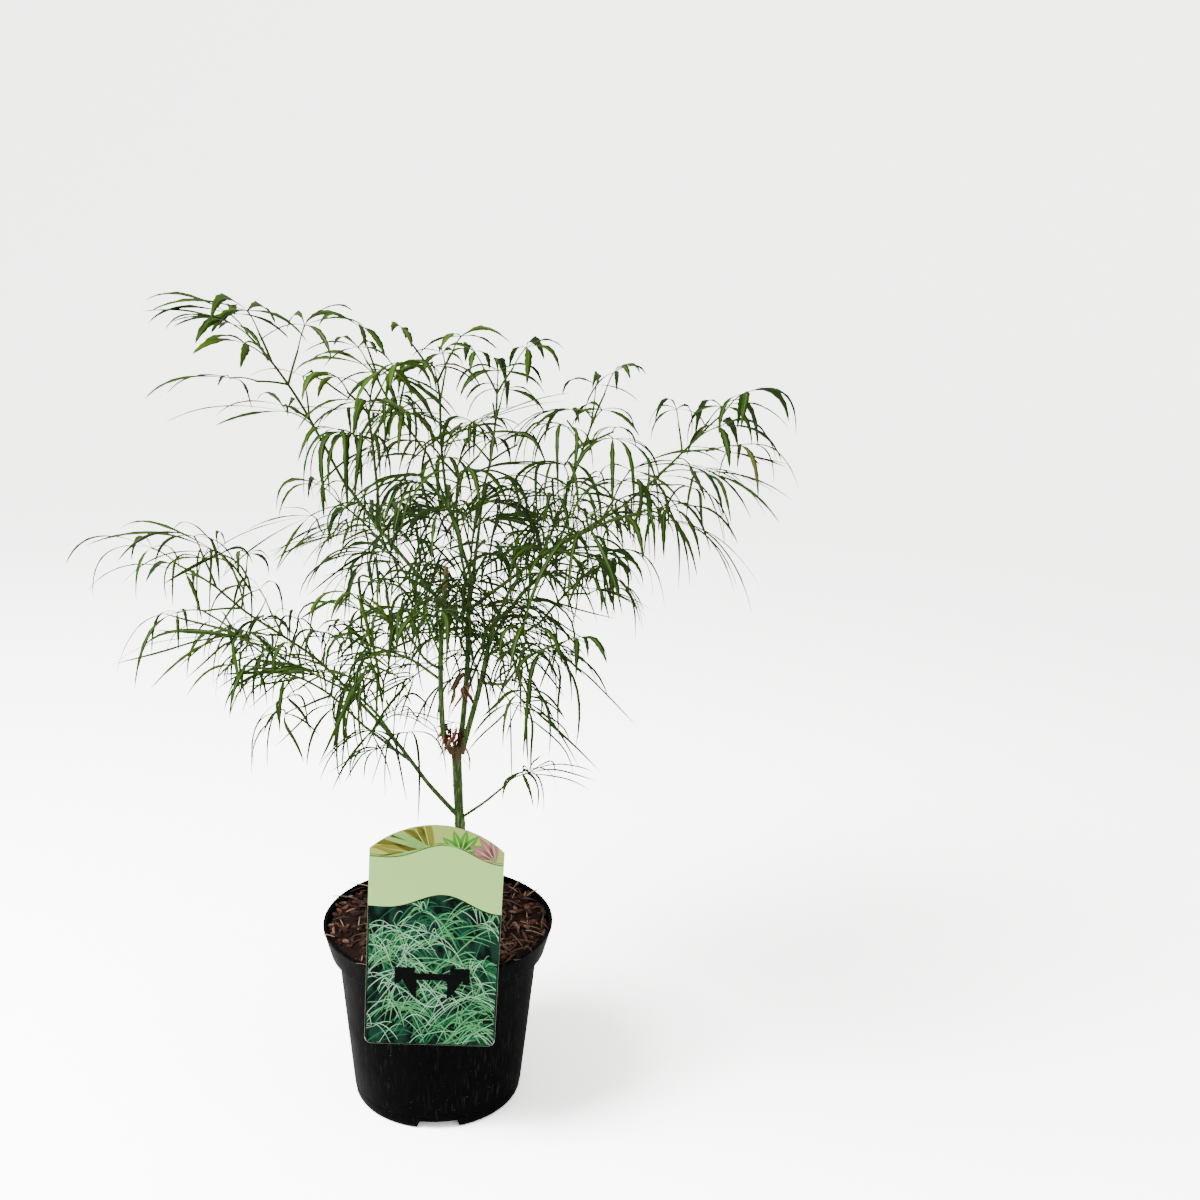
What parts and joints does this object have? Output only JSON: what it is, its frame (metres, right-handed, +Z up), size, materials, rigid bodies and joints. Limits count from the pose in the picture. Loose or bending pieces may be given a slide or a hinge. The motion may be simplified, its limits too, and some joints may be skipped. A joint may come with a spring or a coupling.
{
  "type": "potted thread-leaf japanese maple",
  "caption": "Young multi-stemmed maple with long narrow-lobed hanging leaves, in a tapered black nursery pot of bark substrate with an arched label clipped to its rim.",
  "frame": {"origin": "on the pot's axis, on its flat underside, which stands on the ground", "axes": "+Z up along the pot's axis, +Y away from the label on the rim's front, +X to the right as seen from the label's side"},
  "size_m": [0.5622, 0.401, 0.6663],
  "materials": {
    "pot": "black, satin, finely scuffed",
    "substrate": "chipped bark with straw-coloured bits",
    "label_card": null,
    "label_clip": "black, satin",
    "bark": "smooth green young bark with pale streaks",
    "foliage": "soft satin leaves, mid to dark green"
  },
  "bodies": {
    "root": {"pot": "pot", "substrate": "substrate", "label_card": "label_card", "label_clip": "label_clip", "trunk": "bark", "stem_left": "bark", "stem_middle": "bark", "stem_right": "bark", "bough_left_high": "bark", "bough_left_upper": "bark", "bough_top_left": "bark", "bough_top": "bark", "bough_top_right": "bark", "bough_right_upper": "bark", "bough_right_far": "bark", "bough_right_low": "bark", "bough_right_middle": "bark", "bough_front_right": "bark", "bough_front": "bark", "bough_front_top": "bark", "bough_left_middle": "bark", "bough_low_left": "bark", "bough_low_left_back": "bark", "bough_low_left_front": "bark", "bough_back": "bark", "bough_back_low": "bark", "bough_back_left": "bark", "bough_back_right": "bark", "bough_low_right": "bark", "foliage_left_high": "foliage", "foliage_left_upper": "foliage", "foliage_top_left": "foliage", "foliage_top": "foliage", "foliage_top_right": "foliage", "foliage_right_upper": "foliage", "foliage_right_far": "foliage", "foliage_right_low": "foliage", "foliage_right_middle": "foliage", "foliage_front_right": "foliage", "foliage_front": "foliage", "foliage_front_top": "foliage", "foliage_left_middle": "foliage", "foliage_low_left": "foliage", "foliage_low_left_back": "foliage", "foliage_low_left_front": "foliage", "foliage_back": "foliage", "foliage_back_low": "foliage", "foliage_back_left": "foliage", "foliage_back_right": "foliage", "foliage_low_right": "foliage"}
  },
  "joints": []
}
